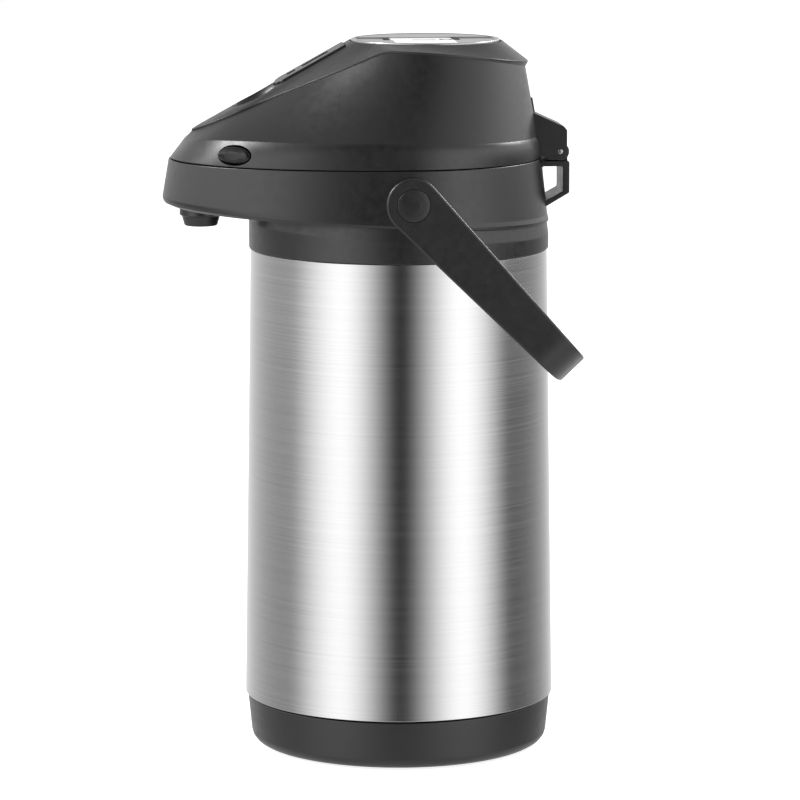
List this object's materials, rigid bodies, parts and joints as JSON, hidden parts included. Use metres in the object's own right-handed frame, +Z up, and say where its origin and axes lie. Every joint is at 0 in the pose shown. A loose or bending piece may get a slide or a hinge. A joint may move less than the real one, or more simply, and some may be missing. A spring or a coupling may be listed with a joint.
{
  "type": "thermal coffee airpot",
  "caption": "Tall insulated pump flask: steel body, black shoulder and lid with a press-down pump button, beak spout, lock slider, side release buttons and a swinging carrying bail.",
  "frame": {"origin": "centre of the foot pad's flat underside, on the axis of the round body", "axes": "+Z up along the body's axis, -Y towards the spout, +X towards the pot's left side as seen from behind it"},
  "size_m": [0.1808, 0.2212, 0.375],
  "materials": {
    "brushed_shell": "brushed round the body",
    "liner_steel": "satin",
    "polished_steel": "polished",
    "black_plastic": "fine satin grain",
    "gloss_black": "polished",
    "grey_plastic": "satin",
    "pressed_plate": "satin silver",
    "base_rubber": "matt",
    "silicone_seal": "translucent matt"
  },
  "bodies": {
    "pot": {"foot_pad": "base_rubber", "base_cup": "black_plastic", "outer_shell": "brushed_shell", "shell_bottom": "brushed_shell", "inner_liner": "liner_steel", "neck_gasket": "silicone_seal", "mouth_ring": "grey_plastic", "dip_tube": "liner_steel", "tube_seal": "silicone_seal", "outlet_elbow": "grey_plastic", "valve_housing": "grey_plastic", "spout_hose": "silicone_seal", "nozzle": "black_plastic", "shoulder_housing": "black_plastic", "deck_plate": "grey_plastic", "deck_screw_1": "polished_steel", "deck_screw_2": "polished_steel", "deck_screw_3": "polished_steel", "deck_screw_4": "polished_steel", "pivot_stud_right": "polished_steel", "pivot_stud_left": "polished_steel", "pivot_cap_right": "black_plastic", "pivot_cap_left": "black_plastic"},
    "lid": {"lid_skirt": "black_plastic", "lid_bonnet": "black_plastic", "lid_floor": "grey_plastic", "lid_screw_1": "polished_steel", "lid_screw_2": "polished_steel", "lid_screw_3": "polished_steel", "lid_screw_4": "polished_steel", "hinge_pin": "polished_steel", "stopper": "grey_plastic", "stopper_gasket": "silicone_seal", "air_flap": "silicone_seal", "bellows_housing": "grey_plastic", "bellows": "base_rubber", "pump_spring": "polished_steel", "latch_spring_right": "polished_steel", "latch_spring_left": "polished_steel"},
    "button": {"pump_button": "black_plastic", "button_plate": "pressed_plate", "bellows_cap": "grey_plastic"},
    "lock": {"lock_slider": "black_plastic"},
    "handle": {"handle": "black_plastic"},
    "latch_right": {"release_button_right": "gloss_black"},
    "latch_left": {"release_button_left": "gloss_black"},
    "valve_ball": {"valve_ball": "polished_steel"}
  },
  "joints": [
    {"name": "lid_hinge", "type": "hinge", "parent": "pot", "child": "lid", "pos_m": [0, 0.084, 0.316], "axis": [-1, 0, 0], "range_deg": [0, 95]},
    {"name": "button_press", "type": "slide", "parent": "lid", "child": "button", "axis": [0, 0, -1], "range_m": [0, 0.022], "stiffness_N_per_m": 900, "springref_m": -0.008, "deforming": ["bellows", "pump_spring"]},
    {"name": "lock_slide", "type": "slide", "parent": "lid", "child": "lock", "axis": [0, -0.875, -0.484], "range_m": [0, 0.0085]},
    {"name": "handle_swing", "type": "hinge", "parent": "pot", "child": "handle", "pos_m": [0, 0, 0.2965], "axis": [1, 0, 0], "range_deg": [0, 200]},
    {"name": "latch_right_press", "type": "slide", "parent": "lid", "child": "latch_right", "axis": [-0.8387, 0.5446, 0], "range_m": [0, 0.003], "stiffness_N_per_m": 600, "springref_m": -0.002, "deforming": ["latch_spring_right"]},
    {"name": "latch_left_press", "type": "slide", "parent": "lid", "child": "latch_left", "axis": [0.8387, 0.5446, 0], "range_m": [0, 0.003], "stiffness_N_per_m": 600, "springref_m": -0.002, "deforming": ["latch_spring_left"]},
    {"name": "valve_ball_lift", "type": "slide", "parent": "pot", "child": "valve_ball", "axis": [0, 0, 1], "range_m": [0, 0.005]}
  ]
}
